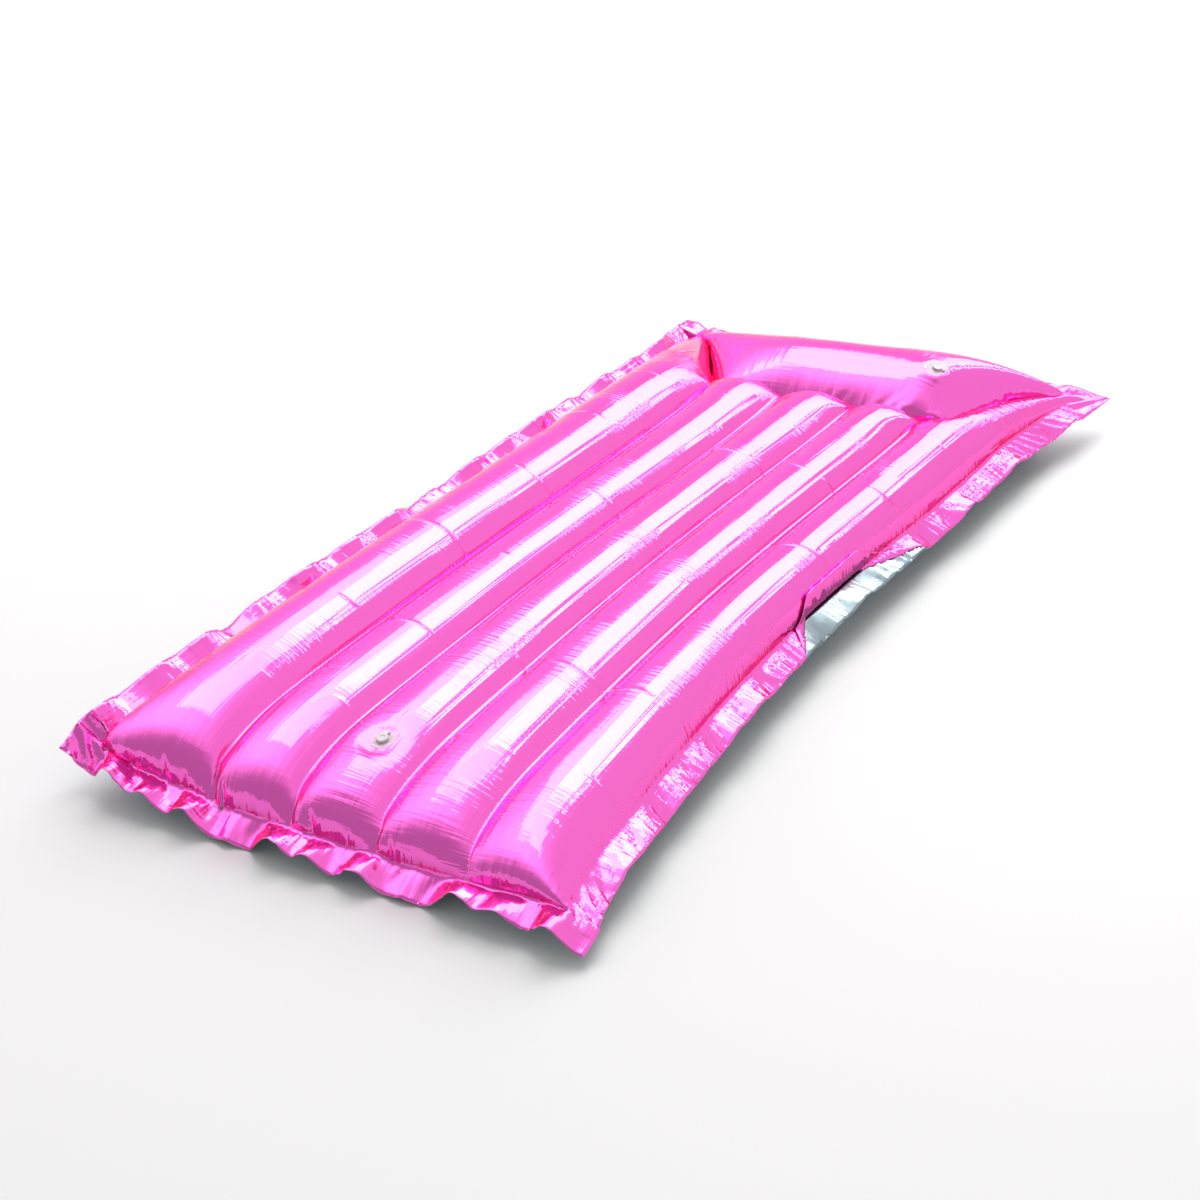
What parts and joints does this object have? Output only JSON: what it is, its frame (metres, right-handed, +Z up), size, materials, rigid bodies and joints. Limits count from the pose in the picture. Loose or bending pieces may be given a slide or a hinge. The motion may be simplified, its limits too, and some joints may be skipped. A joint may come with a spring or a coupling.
{
  "type": "sun tanner pool float",
  "caption": "Inflated sun tanner pool float: lengthwise air tubes, a cross pillow pinched at its ends, a wide ruffled weld flange with corner ears, and push-in valves with plugs.",
  "frame": {"origin": "centre of the mat's plan box, on the floor it rests on", "axes": "+X to the right of the mat seen from its foot, +Y from the foot to the pillow, +Z up"},
  "size_m": [0.8152, 1.8252, 0.1671],
  "materials": {
    "pink_film": "mirror-bright metallised PVC film",
    "silver_film": "dull silver metallised PVC film",
    "web_film": "thin translucent PVC film",
    "clear_pvc": "soft moulded PVC, slightly cloudy",
    "white_pvc": "soft moulded PVC"
  },
  "bodies": {
    "mat": {"top_film": "pink_film", "bottom_film": "silver_film", "web_1": "web_film", "web_2": "web_film", "web_3": "web_film", "web_4": "web_film", "mattress_valve_base": "clear_pvc", "pillow_valve_base": "clear_pvc"},
    "mattress_stem": {"mattress_valve_stem": "clear_pvc"},
    "mattress_plug": {"mattress_valve_plug": "white_pvc", "mattress_valve_strap": "white_pvc"},
    "mattress_flap": {"mattress_valve_flap": "clear_pvc"},
    "pillow_stem": {"pillow_valve_stem": "clear_pvc"},
    "pillow_plug": {"pillow_valve_plug": "white_pvc", "pillow_valve_strap": "white_pvc"},
    "pillow_flap": {"pillow_valve_flap": "clear_pvc"}
  },
  "joints": [
    {"name": "mattress_stem_slide", "type": "slide", "parent": "mat", "child": "mattress_stem", "axis": [0.0004, -0.2011, 0.9796], "range_m": [0, 0.012]},
    {"name": "mattress_plug_hinge", "type": "hinge", "parent": "mattress_stem", "child": "mattress_plug", "pos_m": [0.01434, -0.72962, 0.11696], "axis": [-1, 0, 0.0004], "range_deg": [0, 130]},
    {"name": "mattress_flap_hinge", "type": "hinge", "parent": "mattress_stem", "child": "mattress_flap", "pos_m": [0.01433, -0.73214, 0.09541], "axis": [1, 0, -0.0004], "range_deg": [0, 60], "stiffness_Nm_per_rad": 0.0005, "springref_deg": -8.59},
    {"name": "pillow_stem_slide", "type": "slide", "parent": "mat", "child": "pillow_stem", "axis": [0.2601, -0.2106, 0.9423], "range_m": [0, 0.012]},
    {"name": "pillow_plug_hinge", "type": "hinge", "parent": "pillow_stem", "child": "pillow_plug", "pos_m": [0.1831, 0.63703, 0.15215], "axis": [0, 0.9759, 0.2181], "range_deg": [0, 130]},
    {"name": "pillow_flap_hinge", "type": "hinge", "parent": "pillow_stem", "child": "pillow_flap", "pos_m": [0.17118, 0.64098, 0.13447], "axis": [0, -0.9759, -0.2181], "range_deg": [0, 60], "stiffness_Nm_per_rad": 0.0005, "springref_deg": -8.59}
  ]
}
